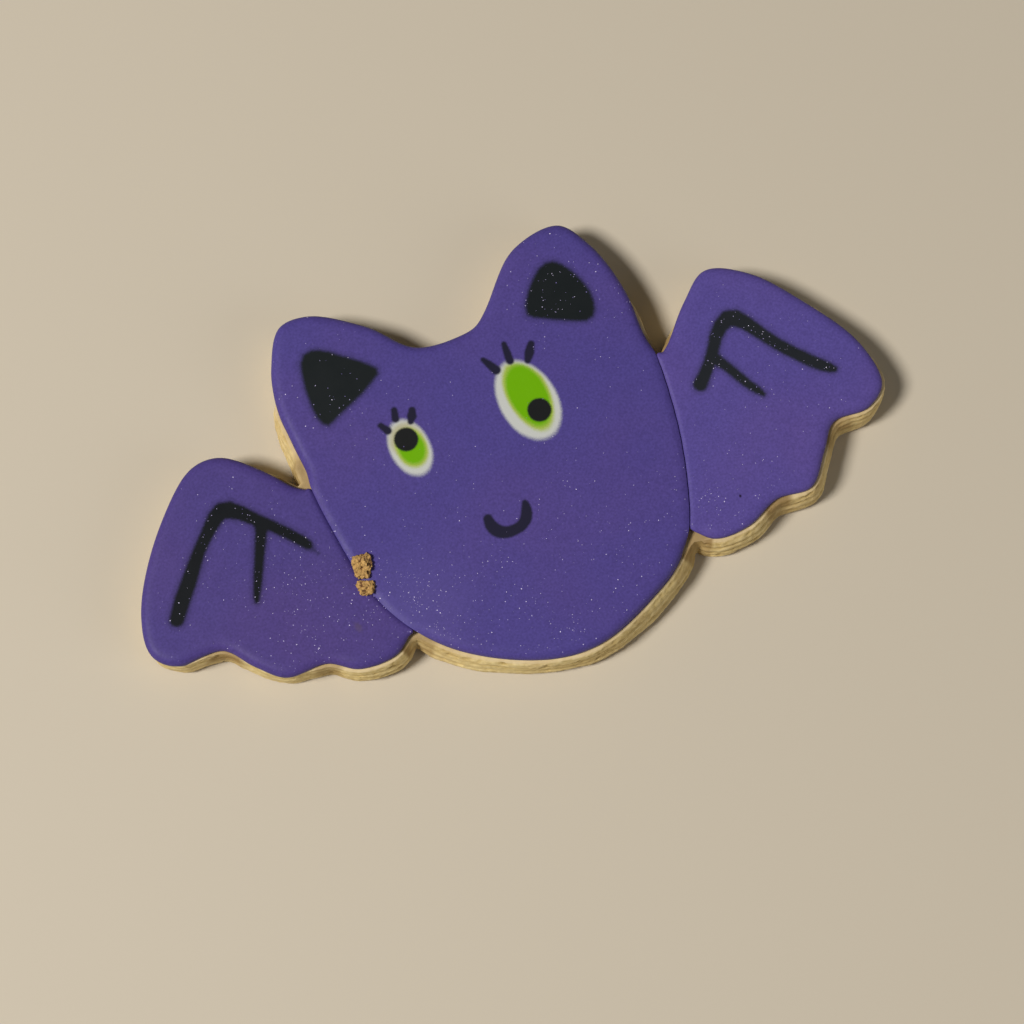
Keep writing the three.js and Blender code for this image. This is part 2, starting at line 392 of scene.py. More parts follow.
# Painted shade, with some browning, in the notches where the side turns inwards
notch_shade = np.clip(-evened(turning, TURN_EVENED) / SHARP_TURN, 0, 1)
level_line = np.column_stack([base_line, 0 * bare])
drift = DRIFT_RISE * rough_at(level_line, *DRIFT)
usual, change, least = HOLLOW_SHOWS
shows = [usual + change * rough_at(level_line, HOLLOW_LENGTH, seed) for _, seed in SHADED_HOLLOWS]
shows = np.clip(shows, least, 1)
rings = []
relief_light_and_shade = []
lips = []
notch_shades = []
side_levels = [height for stretch in SIDE_STEPS for height in np.arange(*stretch)] + [BASE_TOP]
levels = [(0.0, UNDERSIDE_RIM)] + [(height, 0.0) for height in side_levels]
levels += [(BASE_TOP, 0.5 * UNDER_ICING), (BASE_TOP, UNDER_ICING)]
for height, further in levels:
    sunk = np.clip((DRIFT_END - height) / DRIFT_FADE, 0, 1) * ramp(height, 0, DRIFT_FADE) * drift
    place = np.column_stack([base_line, height - drift - 0.5 * further])
    layers = rough_at(place, *LAYERS)
    lumps = rough_at(place, *LUMPS)
    grain = rough_at(place, *GRAIN)
    pits = np.clip(rough_at(place, *PITS) - PIT_START, 0, PIT_MOST)
    worn = ramp(height, 0, FOOT_HEIGHT) * (1 - TOP_WEAR * ramp(height, *WEAR_FROM))
    relief = worn * (LAYER_DEPTH * layers + LUMP_DEPTH * lumps + GRAIN_DEPTH * grain - PIT_DEPTH * pits)
    lies_in = np.interp(height, *np.array(LOWER_SIDE).T)
    lies_in = lies_in + top_edge * np.interp(height - sunk, *np.array(UPPER_SIDE).T) + further
    inwards = lies_in - relief
    held = inwards / (1 + np.clip(inwards / room_in, 0, None) ** SOFT_STOP) ** (1 / SOFT_STOP)
    flat = base_line - base_normals * np.maximum(held, -room_out)[:, None]
    rings.append(np.column_stack([flat, np.clip(height + worn * GRAIN_RISE * grain, 0, BASE_TOP)]))
    # Painted shade along the lines between layers and in the pits, and painted light where the side stands
    # out
    hollow_shade = np.zeros(len(base_line))
    for (level, _), amount in zip(SHADED_HOLLOWS, shows):
        near = np.exp(-((height - level - sunk) / HOLLOW_BREADTH) ** 2)
        hollow_shade = np.maximum(hollow_shade, near * amount)
    relief_lightness = RELIEF_LIGHTNESS + LAYER_SHADE * layers + GRAIN_SHADE * grain
    relief_light_and_shade.append(relief_lightness - HOLLOW_SHADE * hollow_shade - PIT_SHADE * pits)
    notch_shading = np.clip(NOTCH_LUMPS[0] + NOTCH_LUMPS[1] * lumps, 0, 1)
    notch_shades.append(notch_shade * notch_shading * np.interp(height, *np.array(NOTCH_LEVELS).T))
    lips.append(ramp(height, *LIP_FROM) * np.clip(LIP_LUMPS[0] + LIP_LUMPS[1] * lumps, 0, 1))

base_mesh = ringed_mesh("baked_base", rings, bottom_spacing=UNDERSIDE_SPACING)
underside_points = np.zeros(len(base_mesh.vertices) - len(rings) * len(base_line))
for name, values in (("relief_shading", relief_light_and_shade), ("lip", lips), ("notch_shade", notch_shades)):
    keep_value(base_mesh, name, np.clip(np.concatenate([*values, underside_points]), 0, 1))
base = new_piece("baked_base", base_mesh)

biscuit, tree, shader = material_tree("baked dough")
place = in_millimetres(tree)
# The side's colour runs from painted shade in grooves, hollows and pits to painted light on ridges
tones = add_node(tree, "ShaderNodeValToRGB", [("Fac", kept_value(tree, "relief_shading"))])
for end, (relief_lightness, shade) in zip(tones.color_ramp.elements, (SHADED_GROOVE_TONE, LIT_RIDGE_TONE)):
    end.position = relief_lightness
    end.color = shade
tones.color_ramp.elements.new(PALE_TONE[0]).color = PALE_TONE[1]
lip = maths(tree, "MULTIPLY", kept_value(tree, "lip"), LIP_SHARE)
colour = blend_colours(tree, lip, tones.outputs["Color"], LIP_BISCUIT)
# Painted shade in the notches, with some browning
in_notch_shade = maths(tree, "MULTIPLY", kept_value(tree, "notch_shade"), NOTCH_SHARE)
colour = blend_colours(tree, in_notch_shade, colour, NOTCH_SHADE_BISCUIT)
colour = blend_colours(tree, varied(tree, place, *TOAST), colour, TOASTED_BISCUIT)
colour = blend_colours(tree, 1.0, colour, varied(tree, place, *SPECKS), "MULTIPLY")
below = blend_colours(tree, varied(tree, place, *BLOOM), UNDERSIDE_LIGHT, UNDERSIDE_DARK)
below = blend_colours(tree, varied(tree, place, *PORES), below, UNDERSIDE_PORE)
face_up = part_of(tree, add_node(tree, "ShaderNodeNewGeometry").outputs["Normal"], 2)
colour = blend_colours(tree, ranged(tree, face_up, *TURNED_DOWN), colour, below)
foot = ranged(tree, part_of(tree, place, 2), *FOOT_TOAST)
colour = blend_colours(tree, foot, colour, TOASTED_BISCUIT)
feed(tree, shader, [("Base Color", colour), ("Roughness", 0.82), ("Specular IOR Level", 0.25)])
bump(tree, shader, noise_at(tree, place, *CRUMBLE), *CRUMBLE_RELIEF)
base.data.materials.append(biscuit)
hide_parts("cookie_base")
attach(base, "root")

# The purple icing
# Sugar icing tinted purple, smoothed over the head and each wing in a piece of its own and dried to a
# soft satin. Its free edges are rounded; the head's piece stands a little proud of the wings along them.
RIM_RINGS = 11
RIM_BEND = 0.77  # below 1 the rim is squarer than a round one
ICING_STEP = 0.5  # between points along the rim, in millimetres
ICING_SPREAD = 0.17  # how far the pieces are worked into each other along their seams
ICING_BED = 0.25  # how deep its foot is pressed into the base
ICING_FOOT = 0.3
FOOT_INSET = 0.35  # how far the underside of the foot lies in from its side
ABOVE_FOOT = 0.005  # just above the foot, where a node's outline is read
ICING_SPACING = 0.8  # between points inside its top, in millimetres
FREE_SHOULDER = 2.3  # how far the top rounds off towards a free edge
# A seam counts as 1 beside the other piece, and fades away from it
SEAM_LEVEL = 1.6
SEAM_FADE = 1.6
SEAM_EVENED = 6
# At a full seam, the shoulder's width and the wall's height
HEAD_SEAM = (1.5, 2.0)
WING_SEAM = (0.9, 1.55)
# The top's unevenness: its height, the distances over which it changes, and its seed
WAVES = (0.08, ((21, 21, 1), 4))
RIPPLES = (0.015, ((5, 5, 1), 5))
# Lighter and darker copies of one purple for how the light falls: painted light on the right wing, painted
# shade on the left
HEAD_PURPLE = (0.078, 0.060, 0.262)
LEFT_SHADED_PURPLE = (0.075, 0.054, 0.232)
RIGHT_LIT_PURPLE = (0.097, 0.074, 0.304)
WARMER = (1.14, 1.02, 0.97, 1)
DEEPER = (0.80, 0.74, 0.84, 1)
# Patterns and their effects, as in the dough
WARM_DRIFT = ((0.035, 2), (0.42, 0.68, 0, 0.8))
MOTTLE = (0.35, 4)
MOTTLE_DEPTH = (0.40, 0.75, 0, 0.35)
MOTTLE_SATIN = (0.3, 0.7, 0.44, 0.56)
SUGAR_GRAIN = (2.4, 3)
GRAIN_TONES = (0.3, 0.7, 0.86, 1.14)
SUGAR_RELIEF = (0.02 * MM, 0.35)
EDGE_WANDER = (0.5, 2)
EDGE_SPRAY = (4.5, 2)
MIST_REACH = 1.1  # how far overspray goes beyond a mark, in millimetres


def widest_line(node):
    """The outline of an icing node just above its foot."""
    return section_of(node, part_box(node)[0].z / MM + ICING_FOOT + ABOVE_FOOT)


def icing_piece(name, node, neighbours, seam_shoulder, seam_wall):
    """A piece of icing over a node. Along its neighbours it has a shoulder and a wall of its own."""
    low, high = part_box(node)
    bottom = low.z / MM
    top = high.z / MM
    line = eased_line(widest_line(node), ICING_STEP)
    normals = outward(line)
    room = room_behind(line, normals)
    near = np.min([distance_to(line, other) for other in neighbours], axis=0)
    seam = evened(np.clip(SEAM_LEVEL - near / SEAM_FADE, 0, 1), SEAM_EVENED)
    shoulder = np.minimum(FREE_SHOULDER + (seam_shoulder - FREE_SHOULDER) * seam, room)
    wall = bottom + ICING_FOOT + (seam_wall - ICING_FOOT) * seam
    rings = [np.column_stack([line - FOOT_INSET * normals, np.full(len(line), bottom - ICING_BED)])]
    for step in range(RIM_RINGS):
        turn = step / (RIM_RINGS - 1) * math.pi / 2
        inset = 1 - max(math.cos(turn), 0) ** RIM_BEND
        rounding = (1 - seam) * math.sin(turn) ** RIM_BEND + seam * inset * (2 - inset)
        height = wall + (top - wall) * rounding
        grow = ICING_SPREAD * seam - soft_patches(line, DRAWN_IN) * (1 - seam) - shoulder * inset
        rings.append(np.column_stack([line + normals * np.maximum(grow, -room)[:, None], height]))

    def uneven(points):
        """Lifts and sinks the top a little, as hand-smoothed icing does."""
        level = points * [1, 1, 0]
        above = np.clip((points[:, 2] - bottom) / (top - bottom), 0, 1) ** 2
        moved = points.copy()
        waves, ripples = (height * rough_at(level, *kind) for height, kind in (WAVES, RIPPLES))
        moved[:, 2] += above * (waves + ripples)
        return moved

    piece = new_piece(name, ringed_mesh(name, rings, ICING_SPACING, uneven))
    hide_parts(node)
    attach(piece, "root")
    return piece


def group_tree(name, inputs, outputs):
    """A new shader node group, with what it is given and its output node; None stands for a place."""
    tree = bpy.data.node_groups.new(name, "ShaderNodeTree")
    kinds = {tuple: "NodeSocketColor", float: "NodeSocketFloat"}
    for way, sockets in (("INPUT", inputs), ("OUTPUT", outputs)):
        for title, value in sockets.items():
            kind = kinds.get(type(value), "NodeSocketVector")
            socket = tree.interface.new_socket(title, in_out=way, socket_type=kind)
            if value is not None:
                socket.default_value = value
    return tree, tree.nodes.new("NodeGroupInput").outputs, tree.nodes.new("NodeGroupOutput")


def use_group(tree, group, links):
    """Places a node group in a tree, and gives its outputs."""
    return add_node(tree, "ShaderNodeGroup", links, node_tree=group).outputs


def level_way(tree, place, start):
    """The way from the start to a place, without its rise."""
    return vector_maths(tree, "MULTIPLY", vector_maths(tree, "SUBTRACT", place, start), (1, 1, 0))


def make_icing_finish():
    """Tinted icing: its colour drifts a little, and its skin is faintly pitted like dried sugar."""
    tree, given, result = group_tree("dried purple icing", {"Place": None, "Purple": (*HEAD_PURPLE, 1)}, {
        "Colour": (*HEAD_PURPLE, 1), "Roughness": 0.5, "Height": 0.5})
    place, purple = given["Place"], given["Purple"]
    mottle = noise_at(tree, place, *MOTTLE)
    grain = noise_at(tree, place, *SUGAR_GRAIN)
    warmer = blend_colours(tree, 1.0, purple, WARMER, "MULTIPLY")
    deeper = blend_colours(tree, 1.0, purple, DEEPER, "MULTIPLY")
    colour = blend_colours(tree, varied(tree, place, *WARM_DRIFT), purple, warmer)
    colour = blend_colours(tree, ranged(tree, mottle, *MOTTLE_DEPTH), colour, deeper)
    colour = blend_colours(tree, 1.0, colour, ranged(tree, grain, *GRAIN_TONES), "MULTIPLY")
    rough = ranged(tree, mottle, *MOTTLE_SATIN)
    feed(tree, result, [("Colour", colour), ("Roughness", rough), ("Height", grain)])
    return tree


def make_stroke():
    """The distance in millimetres to the edge of a painted stroke with its own width at each end."""
    tree, given, result = group_tree("painted stroke", {
        "Place": None, "Start": None, "End": None, "Start width": 2.0, "End width": 2.0}, {"Distance": 0.0})
    along = vector_maths(tree, "SUBTRACT", given["End"], given["Start"])
    flat = level_way(tree, given["Place"], given["Start"])
    passed = vector_maths(tree, "DOT_PRODUCT", flat, along, result="Value")
    whole = vector_maths(tree, "DOT_PRODUCT", along, along, result="Value")
    held = add_node(tree, "ShaderNodeClamp", [("Value", maths(tree, "DIVIDE", passed, whole))]).outputs[0]
    scaled = add_node(tree, "ShaderNodeVectorMath", [(0, along), ("Scale", held)], operation="SCALE")
    beside = vector_maths(tree, "SUBTRACT", flat, scaled.outputs[0])
    away = vector_maths(tree, "LENGTH", beside, result="Value")
    width = ranged(tree, held, 0.0, 1.0, given["Start width"], given["End width"])
    distance = maths(tree, "SUBTRACT", away, maths(tree, "MULTIPLY", width, 0.5))
    feed(tree, result, [("Distance", distance)])
    return tree


def make_oval():
    """The distance to the edge of a painted oval that leans to the left and can be fuller below."""
    tree, given, result = group_tree("painted oval", {
        "Place": None, "Centre": None, "Half length": 3.0, "Half width": 2.0, "Lean": 0.0, "Fullness": 0.0,
    }, {"Distance": 0.0})
    flat = level_way(tree, given["Place"], given["Centre"])
    turned = add_node(tree, "ShaderNodeVectorRotate", [("Vector", flat), ("Angle", given["Lean"])],
                      rotation_type="Z_AXIS").outputs[0]
    up = maths(tree, "DIVIDE", part_of(tree, turned, 1), given["Half length"])
    fuller = maths(tree, "SUBTRACT", 1.0, maths(tree, "MULTIPLY", up, given["Fullness"]))
    breadth = maths(tree, "MULTIPLY", given["Half width"], fuller)
    across = maths(tree, "DIVIDE", part_of(tree, turned, 0), breadth)
    squares = [maths(tree, "POWER", share, 2.0) for share in (up, across)]
    size = maths(tree, "SQRT", maths(tree, "ADD", *squares))
    distance = maths(tree, "MULTIPLY", maths(tree, "SUBTRACT", size, 1.0), given["Half width"])
    feed(tree, result, [("Distance", distance)])
    return tree


def make_side():
    """How far a place lies outside a straight side that runs counter-clockwise round a painted patch."""
    ends = {"Place": None, "Start": None, "End": None}
    tree, given, result = group_tree("side of a patch", ends, {"Distance": 0.0})
    whole = vector_maths(tree, "SUBTRACT", given["End"], given["Start"])
    outwards = vector_maths(tree, "CROSS_PRODUCT", vector_maths(tree, "NORMALIZE", whole), (0, 0, 1))
    reach = vector_maths(tree, "SUBTRACT", given["Place"], given["Start"])
    distance = vector_maths(tree, "DOT_PRODUCT", reach, outwards, result="Value")
    feed(tree, result, [("Distance", distance)])
    return tree


def make_airbrush():
    """Turns the distance to a mark's edge into paint: full inside, fading over a soft grainy edge."""
    tree, given, result = group_tree("airbrushed edge", {
        "Distance": 0.0, "Place": None, "Softness": 0.3, "Wander": 0.2, "Overspray": 0.0}, {"Paint": 0.0})
    softness = given["Softness"]
    distance = given["Distance"]
    for pattern, reach in ((EDGE_WANDER, given["Wander"]), (EDGE_SPRAY, softness)):
        uneven = maths(tree, "SUBTRACT", noise_at(tree, given["Place"], *pattern), 0.5)
        distance = maths(tree, "ADD", distance, maths(tree, "MULTIPLY", uneven, reach))
    inside = maths(tree, "MULTIPLY", softness, -1.0)
    paint = ranged(tree, distance, softness, inside, interpolation_type="SMOOTHSTEP")
    mist = ranged(
        tree, distance, MIST_REACH, 0.0, 0.0, given["Overspray"], interpolation_type="SMOOTHSTEP")
    feed(tree, result, [("Paint", maths(tree, "MAXIMUM", paint, mist))])
    return tree


ICING_FINISH = make_icing_finish()
STROKE = make_stroke()
OVAL = make_oval()
SIDE_OF_PATCH = make_side()
AIRBRUSH = make_airbrush()

head_line = widest_line("icing_head")
wing_lines = [widest_line("icing_wing_left"), widest_line("icing_wing_right")]
head = icing_piece("head_icing", "icing_head", wing_lines, *HEAD_SEAM)
left_wing = icing_piece("left_wing_icing", "icing_wing_left", [head_line], *WING_SEAM)
right_wing = icing_piece("right_wing_icing", "icing_wing_right", [head_line], *WING_SEAM)


def icing_material(piece, node, purple):
    """Icing for a piece, with places on it counted in millimetres from the middle of its node."""
    made, tree, shader = material_tree(piece.name)
    piece.data.materials.append(made)
    low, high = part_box(node)
    place = in_millimetres(tree, (low + high) / 2)
    finish = use_group(tree, ICING_FINISH, [("Place", place), ("Purple", (*purple, 1))])
    feed(tree, shader, [("Roughness", finish["Roughness"]), ("Specular IOR Level", 0.13)])
    bump(tree, shader, finish["Height"], *SUGAR_RELIEF)
    return tree, shader, place, finish["Colour"]


def merge_marks(tree, distances, fillet=0.0):
    """One distance for several marks; with a fillet they flow into each other."""
    joined = distances[0]
    for distance in distances[1:]:
        if fillet:
            joined = maths(tree, "SMOOTH_MIN", joined, distance, fillet)
        else:
            joined = maths(tree, "MINIMUM", joined, distance)
    return joined


def rounded(stations):
    """The stations of a painted line with one more between each two, on a smooth curve."""
    rows = np.array(stations)
    before = np.vstack([2 * rows[0] - rows[1], rows, 2 * rows[-1] - rows[-2]])
    middles = (9 * (before[1:-2] + before[2:-1]) - before[:-3] - before[3:]) / 16
    return [row for pair in zip(rows, middles) for row in pair] + [rows[-1]]


def stroke_through(tree, place, stations):
    """The distance to a stroke along the stations, each (x, y, width) in millimetres."""
    return merge_marks(tree, [use_group(tree, STROKE, [
        ("Place", place), ("Start", (*here[:2], 0)), ("End", (*there[:2], 0)),
        ("Start width", here[2]), ("End width", there[2]),
    ])[0] for here, there in zip(stations, stations[1:])])


def oval(tree, place, centre, half_length, half_width, lean=0.0, fullness=0.0):
    """The distance to an oval's edge. Its lean is in degrees, to the left at the top."""
    return use_group(tree, OVAL, [
        ("Place", place), ("Centre", (*centre, 0)), ("Half length", half_length), ("Half width", half_width),
        ("Lean", math.radians(-lean)), ("Fullness", fullness)])[0]


def paint_over(tree, colour, paint, place, distance, softness, wander, overspray=0.0, strength=1.0):
    """The colour with a mark painted over it; the last four values are its edge and strength."""
    amount = use_group(tree, AIRBRUSH, [
        ("Distance", distance), ("Place", place), ("Softness", softness), ("Wander", wander),
        ("Overspray", overspray)])[0]
    return blend_colours(tree, maths(tree, "MULTIPLY", amount, strength), colour, paint)


# The painted wing bones
# Black food colour airbrushed on each wing: a bent bone from the shoulder over the elbow to the tip,
# with one finger branching off. The spray leaves soft, slightly grainy edges.
# Lighter and darker copies of one black: painted shade on the left wing, painted light on the right
LEFT_SHADED_BLACK = (0.0047, 0.0065, 0.0090, 1)
RIGHT_LIT_BLACK = (0.0155, 0.0185, 0.0235, 1)
LEFT_BONE = [(-15.8, -3.4, 2.9), (-13.8, -0.4, 3.1), (-11.8, 2.2, 3.0), (-10.15, 4.55, 2.75),
             (-8.5, 6.75, 2.5), (-6.7, 8.75, 2.5), (-5.15, 10.35, 2.75), (-3.7, 11.75, 3.1),
             (-2.45, 12.4, 3.35), (-1.1, 12.15, 3.3), (0.7, 10.9, 2.85), (2.9, 8.8, 2.45),
             (5.2, 6.8, 2.2), (7.4, 4.6, 2.2), (9.3, 2.5, 2.1), (10.0, 1.6, 1.9)]
LEFT_TAIL = [(10.2, 1.2, 1.1), (11.3, -0.5, 0.6)]
LEFT_FINGER = [(3.4, 7.5, 2.5), (2.5, 5.3, 2.25), (1.4, 2.6, 2.05), (0.3, -0.1, 1.9),
               (-0.7, -2.6, 1.7), (-1.4, -4.3, 1.35), (-1.6, -5.0, 1.0)]
RIGHT_BONE = [(-10.3, 3.7, 2.8), (-8.8, 5.3, 2.5), (-7.35, 7.0, 2.4), (-6.05, 8.8, 2.4),
              (-4.7, 10.95, 2.55), (-3.1, 12.65, 2.9), (-1.45, 13.5, 3.3), (-0.1, 13.1, 3.35),
              (1.3, 11.7, 2.9), (3.1, 9.1, 2.55), (5.2, 6.2, 2.45), (7.5, 3.6, 2.4),
              (9.9, 1.1, 2.45), (11.5, -0.3, 2.35), (12.6, -1.15, 2.0), (13.2, -1.6, 1.5)]
RIGHT_FINGER = [(-6.0, 7.0, 2.3), (-4.8, 5.3, 2.0), (-3.6, 3.2, 1.95), (-2.4, 1.1, 1.85),
                (-1.1, -0.7, 1.65), (-0.4, -1.7, 1.1)]
BONE_FILLET = 1.2  # where the finger branches off
# A painted edge: its softness, wandering and overspray in millimetres, and the paint's strength
BONE_EDGE = (0.5, 0.1, 0.26)
TAIL_EDGE = (0.5, 0.1, 0.0, 0.5)
# Two stray marks, one on each wing: the middle, half the length, half the width and the lean
BROWN_SPOT = (0.10, 0.072, 0.10, 1)
SPOT_SHAPE = ((13.7, -15.3), 0.8, 0.5, 20)
SPOT_EDGE = (0.4, 0.5, 0.0, 0.45)
DARK_SPECK = (0.016, 0.008, 0.035, 1)
SPECK_SHAPE = ((-10.8, -17.8), 0.24, 0.2)
SPECK_EDGE = (0.12, 0.1)


def paint_bones(tree, colour, black, place, lines):
    """The colour with a wing's bone and finger painted over it, flowing into each other."""
    bone = merge_marks(tree, [stroke_through(tree, place, line) for line in lines], BONE_FILLET)
    return paint_over(tree, colour, black, place, bone, *BONE_EDGE)


tree, shader, place, colour = icing_material(left_wing, "icing_wing_left", LEFT_SHADED_PURPLE)
colour = paint_over(tree, colour, BROWN_SPOT, place, oval(tree, place, *SPOT_SHAPE), *SPOT_EDGE)
tail = stroke_through(tree, place, LEFT_TAIL)
colour = paint_over(tree, colour, LEFT_SHADED_BLACK, place, tail, *TAIL_EDGE)
colour = paint_bones(tree, colour, LEFT_SHADED_BLACK, place, (LEFT_BONE, LEFT_FINGER))
feed(tree, shader, [("Base Color", colour)])

tree, shader, place, colour = icing_material(right_wing, "icing_wing_right", RIGHT_LIT_PURPLE)
colour = paint_over(tree, colour, DARK_SPECK, place, oval(tree, place, *SPECK_SHAPE), *SPECK_EDGE)
colour = paint_bones(tree, colour, RIGHT_LIT_BLACK, place, (RIGHT_BONE, RIGHT_FINGER))
feed(tree, shader, [("Base Color", colour)])

# The painted face
# Black airbrushed ear patches, and a face painted by stencil: white eyes of two sizes with green in
# them and a black pupil, three lashes over each, and a small crooked smile in blue-black.
PATCH_BLACK = (0.0095, 0.0130, 0.0145, 1)
PATCH_EDGE = (0.6, 0.2, 0.26)
PATCH_SIDE = 1.5  # length of each of the short straight sides that make up a patch's rim
# Round each ear patch, counter-clockwise
LEFT_PATCH = [(-25.8, 29.3), (-26.8, 27.9), (-27.3, 25.0), (-27.5, 21.7), (-27.3, 18.6), (-26.8, 16.6),
              (-25.3, 15.4), (-22.5, 16.6), (-20.1, 18.1), (-17.5, 19.6), (-15.0, 20.9), (-14.3, 22.2),
              (-15.4, 23.6), (-17.7, 25.5), (-20.0, 27.2), (-22.1, 28.7), (-24.1, 29.5)]
RIGHT_PATCH = [(22.1, 31.0), (20.5, 31.1), (18.9, 30.3), (17.2, 28.6), (15.7, 26.7), (14.6, 24.8),
               (14.3, 23.1), (15.3, 22.1), (17.2, 21.1), (19.6, 20.1), (22.0, 19.0), (24.0, 18.4),
               (25.5, 18.8), (26.4, 20.4), (26.6, 22.4), (26.3, 24.4), (25.6, 26.4), (24.6, 28.3),
               (23.4, 29.9)]
PATCHES = [(LEFT_PATCH, 0.28), (RIGHT_PATCH, 0.10)]  # with how far the paint runs over the outline
LIT_CHEEK_PURPLE = (0.118, 0.098, 0.325, 1)  # painted light: paler icing on the lower left of the head, where the thickest glitter also lies
LIT_CHEEK_SHAPE = ((-22, -21.5), 8, 8)
LIT_CHEEK_EDGE = (8.0, 2.0, 0.0, 0.35)
# The paints of the eyes and lashes, each with its edge
EYE_WHITE = ((0.565, 0.590, 0.562, 1), (0.42, 0.15))
EYE_GREEN = ((0.155, 0.428, 0.0, 1), (0.42, 0.15))
EYE_YELLOW = ((0.40, 0.50, 0.09, 1), (0.38, 0.15))
EYE_BEIGE = ((0.47, 0.46, 0.30, 1), (0.6, 0.2))
PUPIL_BLACK = ((0.0105, 0.0115, 0.012, 1), (0.25, 0.12))
LASH_BLACK = ((0.0145, 0.0137, 0.034, 1), (0.27, 0.1))
SMILE_EDGE = (0.28, 0.12)
WHITE_SHOWS = 0.35  # the least white left round the green, in millimetres
PUPIL_RADIUS = 2.18
# For each eye: the ovals of its white and green (the middle, half the length, half the width, the lean
# and the fullness), how far yellow shows round the green, the radius of the beige round the pupil, the
# pupil's middle, and its lashes
BIG_EYE = {
    "white": ((9.17, 8.2), 7.86, 5.1, 10.4, 0.04), "green": ((9.6, 8.85), 6.15, 3.35, 7.5, -0.05),
    "yellow": 0.48, "beige": 0.0, "pupil": (10.52, 5.69),
    "lashes": [[(4.1, 17.8, 0.9), (4.8, 16.7, 1.35), (5.7, 15.2, 1.7)],
               [(8.6, 19.3, 1.0), (8.6, 17.7, 1.35), (8.6, 16.0, 1.5)],
               [(13.2, 17.7, 1.3), (12.4, 16.3, 1.8), (11.6, 15.0, 1.2)]],
}
SMALL_EYE = {
    "white": ((-13.49, 6.89), 5.4, 3.55, 7.8, 0.0), "green": ((-13.2, 6.75), 3.1, 2.35, 4, 0.0),
    "yellow": 0.5, "beige": 3.0, "pupil": (-13.64, 8.51),
    "lashes": [[(-17.1, 12.4, 1.1), (-16.2, 11.1, 1.5)],
               [(-13.9, 14.3, 1.15), (-14.2, 12.7, 1.4)],
               [(-10.9, 13.2, 1.35), (-11.3, 12.2, 1.75), (-11.8, 11.3, 1.1)]],
}
SMILE = [(-4.7, -9.95, 1.7), (-4.6, -11.2, 2.2), (-4.0, -12.35, 2.4), (-3.0, -13.1, 2.3),
         (-1.7, -13.4, 2.1), (0.1, -13.2, 2.0), (1.4, -12.4, 2.1), (2.1, -11.2, 2.1),
         (2.4, -10.0, 1.6), (2.4, -9.4, 1.1)]

tree, shader, place, colour = icing_material(head, "icing_head", HEAD_PURPLE)
# Painted light on the lower left of the head
colour = paint_over(tree, colour, LIT_CHEEK_PURPLE, place, oval(tree, place, *LIT_CHEEK_SHAPE), *LIT_CHEEK_EDGE)
for outline, overrun in PATCHES:
    rim = eased_line(np.array(outline), PATCH_SIDE)
    patch = None
    for start, stop in zip(rim, np.roll(rim, -1, 0)):
        side = use_group(tree, SIDE_OF_PATCH, [
            ("Place", place), ("Start", (*start, 0)), ("End", (*stop, 0))])[0]
        patch = maths(tree, "MAXIMUM", patch, side) if patch else side
    patch = maths(tree, "SUBTRACT", patch, overrun)
    colour = paint_over(tree, colour, PATCH_BLACK, place, patch, *PATCH_EDGE)

for eye in (BIG_EYE, SMALL_EYE):
    white = oval(tree, place, *eye["white"])
    green = oval(tree, place, *eye["green"])
    within = maths(tree, "ADD", white, WHITE_SHOWS)
    halo = maths(tree, "MAXIMUM", maths(tree, "SUBTRACT", green, eye["yellow"]), within)
    pupil = oval(tree, place, eye["pupil"], PUPIL_RADIUS, PUPIL_RADIUS)
    lashes = merge_marks(tree, [stroke_through(tree, place, lash) for lash in eye["lashes"]])
    coats = [(EYE_WHITE, white), (EYE_YELLOW, halo), (EYE_GREEN, green), (PUPIL_BLACK, pupil),
             (LASH_BLACK, lashes)]
    if eye["beige"]:
        beige = maths(tree, "MAXIMUM", oval(tree, place, eye["pupil"], eye["beige"], eye["beige"]), within)
        coats.insert(1, (EYE_BEIGE, beige))
    for (paint, edge), distance in coats:
        colour = paint_over(tree, colour, paint, place, distance, *edge)

smile = stroke_through(tree, place, rounded(SMILE))
colour = paint_over(tree, colour, LASH_BLACK[0], place, smile, *SMILE_EDGE)
feed(tree, shader, [("Base Color", colour)])

# The edible glitter
# Fine lilac-white flakes of sugar glitter, dusted over the dried icing and the painted marks by hand,
# so they lie thick in some places and thin in others. Each is a tiny six-sided plate.
FLAKE_RADIUS = 0.065 * MM
FLAKE_THICKNESS = 0.018 * MM
FLAKE_SIZES = (0.55, 1.75)  # the smallest and the largest, times the radius and the thickness
FLAKE_TILT = 0.5  # the most that a flake leans either way, in radians
FLAKE_SPIN = 3.14
FLAKES_PER_SQUARE_METRE = 2.1e6  # times the dusting, which is 1 at its thickest
FLAKE_DULL = (0.19, 0.16, 0.42, 1)
FLAKE_BRIGHT = (0.80, 0.74, 1.0, 1)
GLINT_POWER = 1.9  # the higher, the fewer bright flakes
UPWARD = 0.7  # flakes lie where the surface faces up at least this much
# Where it lies thicker: the middle of each place, its radius, and how much thicker
THICKER = [(-23.7, -20.8, 10, 0.55), (2, -26, 14, 0.21), (34, -21, 9, 0.25), (-24, 23.5, 7, 0.08),
           (19, 25, 7, 0.24), (-42, -15, 13, 0.28), (52, 6, 14, 0.05)]
EVEN_DUSTING = 0.016
DRIFTS = ((7, 7, 1), 11)  # how it gathers in places: over what distances, and the seed
DRIFT_CHANGE = 1.6
DRIFT_LIMITS = (0.15, 2.5)
BONE_DUSTING = 0.26  # glitter holds better on the sprayed black, for this far round a bone's middle
BONE_REACH = 1.5

